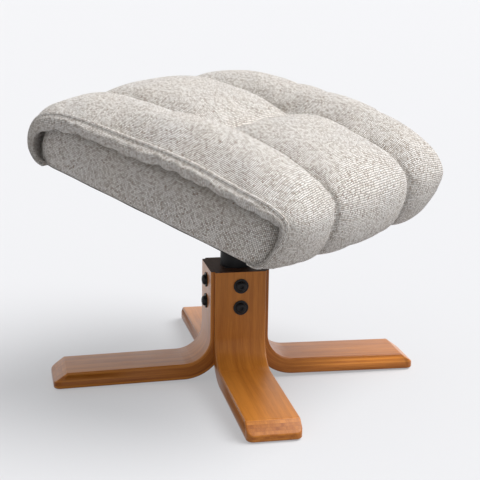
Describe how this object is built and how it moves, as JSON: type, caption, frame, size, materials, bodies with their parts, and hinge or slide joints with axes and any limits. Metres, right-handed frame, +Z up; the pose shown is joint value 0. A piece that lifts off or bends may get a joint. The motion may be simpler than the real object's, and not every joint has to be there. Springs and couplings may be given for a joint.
{
  "type": "rocking footstool",
  "caption": "Upholstered footstool whose padded seat swivels and rocks on a cross of four bent wooden legs.",
  "frame": {"origin": "on the floor under the swivel axis", "axes": "+Z up; X along the seat's width, which is the rocking axis; -Y towards the seat's low front end; the four legs lie on the diagonals"},
  "size_m": [0.45, 0.4189, 0.3963],
  "materials": {
    "bentwood": "satin lacquer over laminated beech veneer, tops stained dark",
    "black_steel": "black powder coat",
    "plain_steel": "bright zinc",
    "black_nylon": "matt",
    "black_rubber": "matt",
    "plywood": "bare sanded",
    "dust_cloth": "thin black non-woven cloth",
    "foam": "open-cell foam",
    "tweed": "coarse oatmeal and grey-brown plain weave"
  },
  "bodies": {
    "base": {"leg_front_right": "bentwood", "leg_rear_right": "bentwood", "leg_rear_left": "bentwood", "leg_front_left": "bentwood", "centre_post": "plain_steel", "leg_bolts": "black_steel", "leg_washers": "black_steel", "post_nuts": "plain_steel", "foot_glides": "black_nylon", "swivel_housing": "black_steel", "lower_swivel_bush": "black_nylon", "upper_swivel_bush": "black_nylon", "thrust_washer": "plain_steel"},
    "swivel_head": {"swivel_spindle": "plain_steel", "retaining_ring": "plain_steel", "rocker_tube": "black_steel", "torsion_bushes": "black_rubber", "stop_arms": "black_steel", "stop_buffers": "black_rubber", "buffer_nuts": "plain_steel"},
    "seat": {"inner_sleeve": "plain_steel", "pivot_bolt": "plain_steel", "pivot_washers": "plain_steel", "pivot_nut": "plain_steel", "seat_bracket": "black_steel", "bracket_screws": "plain_steel", "tee_nuts": "plain_steel", "seat_board": "plywood", "dust_cover": "dust_cloth", "foam_core": "foam", "core_cover": "tweed", "pad_centre_front": "tweed", "pad_centre_rear": "tweed", "pad_right_channel": "tweed", "pad_left_channel": "tweed"}
  },
  "joints": [
    {"name": "seat_swivel", "type": "hinge", "parent": "base", "child": "swivel_head", "pos_m": [0, 0, 0.192], "axis": [0, 0, 1], "continuous": true},
    {"name": "seat_rock", "type": "hinge", "parent": "swivel_head", "child": "seat", "pos_m": [0, 0, 0.232], "axis": [1, 0, 0], "range_deg": [-12, 12], "stiffness_Nm_per_rad": 30, "springref_deg": -2.28}
  ]
}
